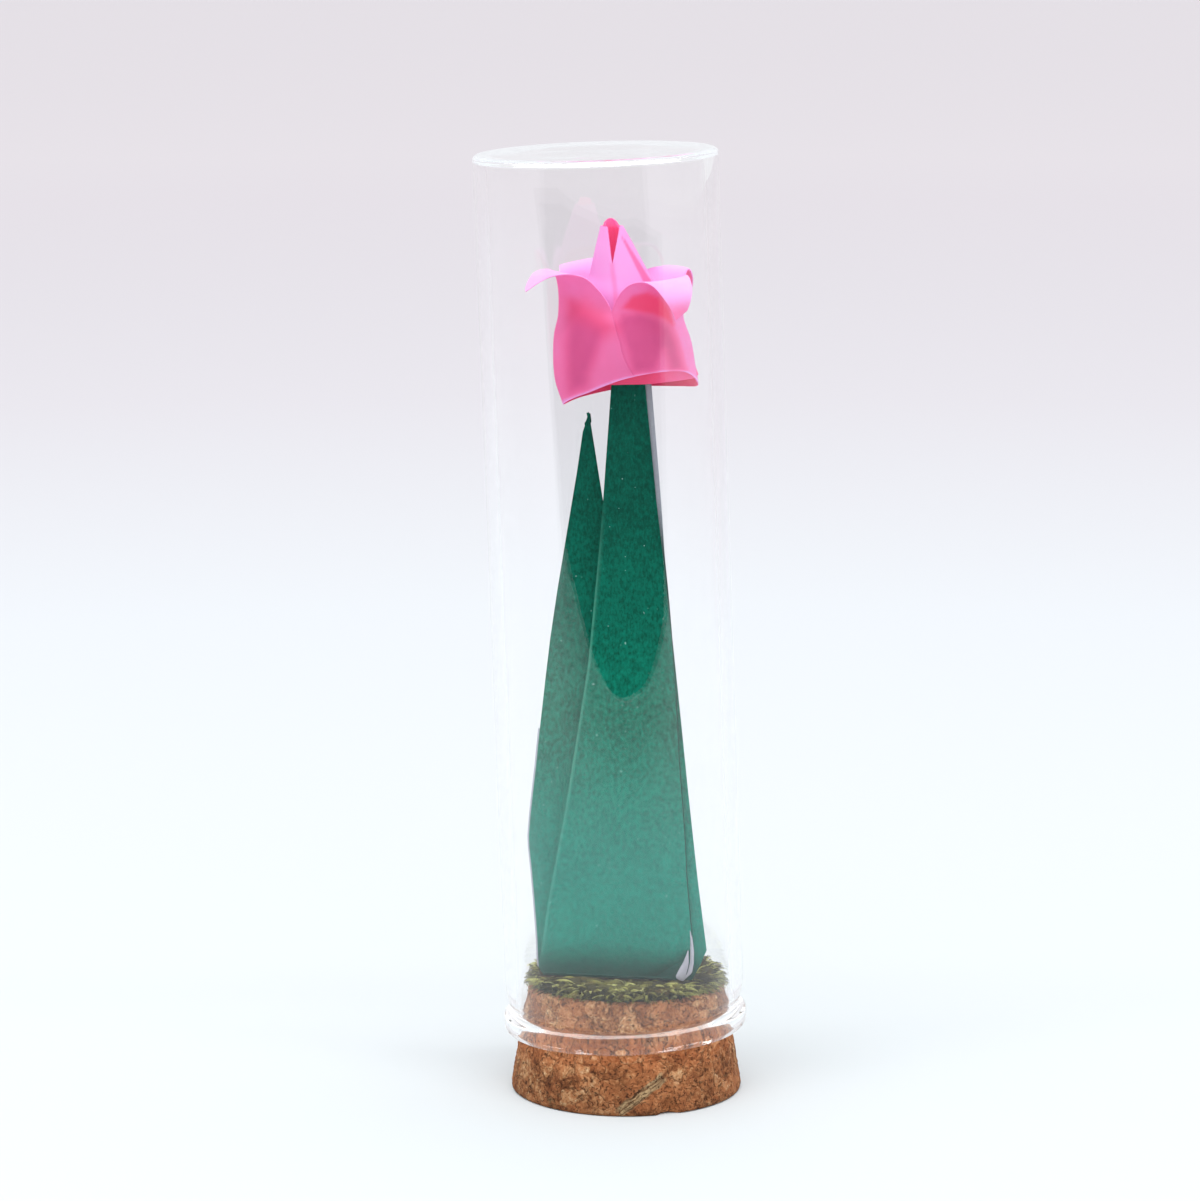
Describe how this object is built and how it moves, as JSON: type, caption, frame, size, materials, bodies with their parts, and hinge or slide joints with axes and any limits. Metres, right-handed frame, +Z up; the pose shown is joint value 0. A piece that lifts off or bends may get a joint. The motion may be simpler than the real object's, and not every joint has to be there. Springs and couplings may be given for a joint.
{
  "type": "folded paper tulip in an upturned glass vial",
  "caption": "Pink tulip folded from paper with a green folded stem and leaf, on a moss-topped cork under an upturned clear glass vial.",
  "frame": {"origin": "centre of the cork's flat underside, on the surface it stands on", "axes": "+Z up, the front of the blossom and of the stem faces -Y, +X to the viewer's right"},
  "size_m": [0.0339, 0.0304, 0.1182],
  "materials": {
    "glass": "clear and glossy",
    "cork": "pressed cork granules, matte",
    "moss": "dried moss, fibrous and matte",
    "green_paper": "folding paper, green with a white reverse, matte",
    "pink_paper": "thin folding paper, matte and a little translucent"
  },
  "bodies": {
    "root": {"glass_vial": "glass", "cork_stopper": "cork", "moss_pad": "moss", "paper_stem_and_leaf": "green_paper", "paper_blossom": "pink_paper"}
  },
  "joints": []
}
